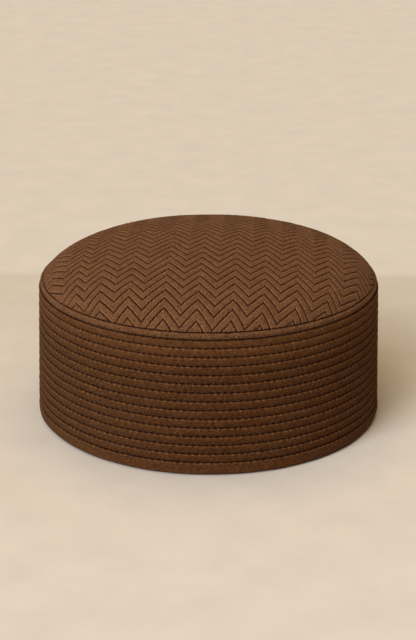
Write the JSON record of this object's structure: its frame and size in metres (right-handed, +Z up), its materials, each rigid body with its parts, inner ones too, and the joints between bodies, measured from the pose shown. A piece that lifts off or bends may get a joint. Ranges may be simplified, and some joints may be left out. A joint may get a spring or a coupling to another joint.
{
  "type": "round prayer cap",
  "caption": "Round stiff cloth cap with a low domed crown quilted in chevrons, a rolled piping at its edge and a side band quilted in level ribs, a little wider at its foot.",
  "frame": {"origin": "centre of the round rim on the surface that the cap rests on", "axes": "+Z up through the middle of the crown, the front towards -Y"},
  "size_m": [0.1906, 0.1906, 0.0992],
  "materials": {
    "crown_cloth": "matte quilted brown cloth with chevron stitching",
    "piping_cloth": "matte brown cloth over a soft cord",
    "band_cloth": "matte padded brown cloth with level rows of stitching"
  },
  "bodies": {
    "root": {"crown": "crown_cloth", "edge_piping": "piping_cloth", "side_band": "band_cloth", "bottom_hem": "band_cloth"}
  },
  "joints": []
}
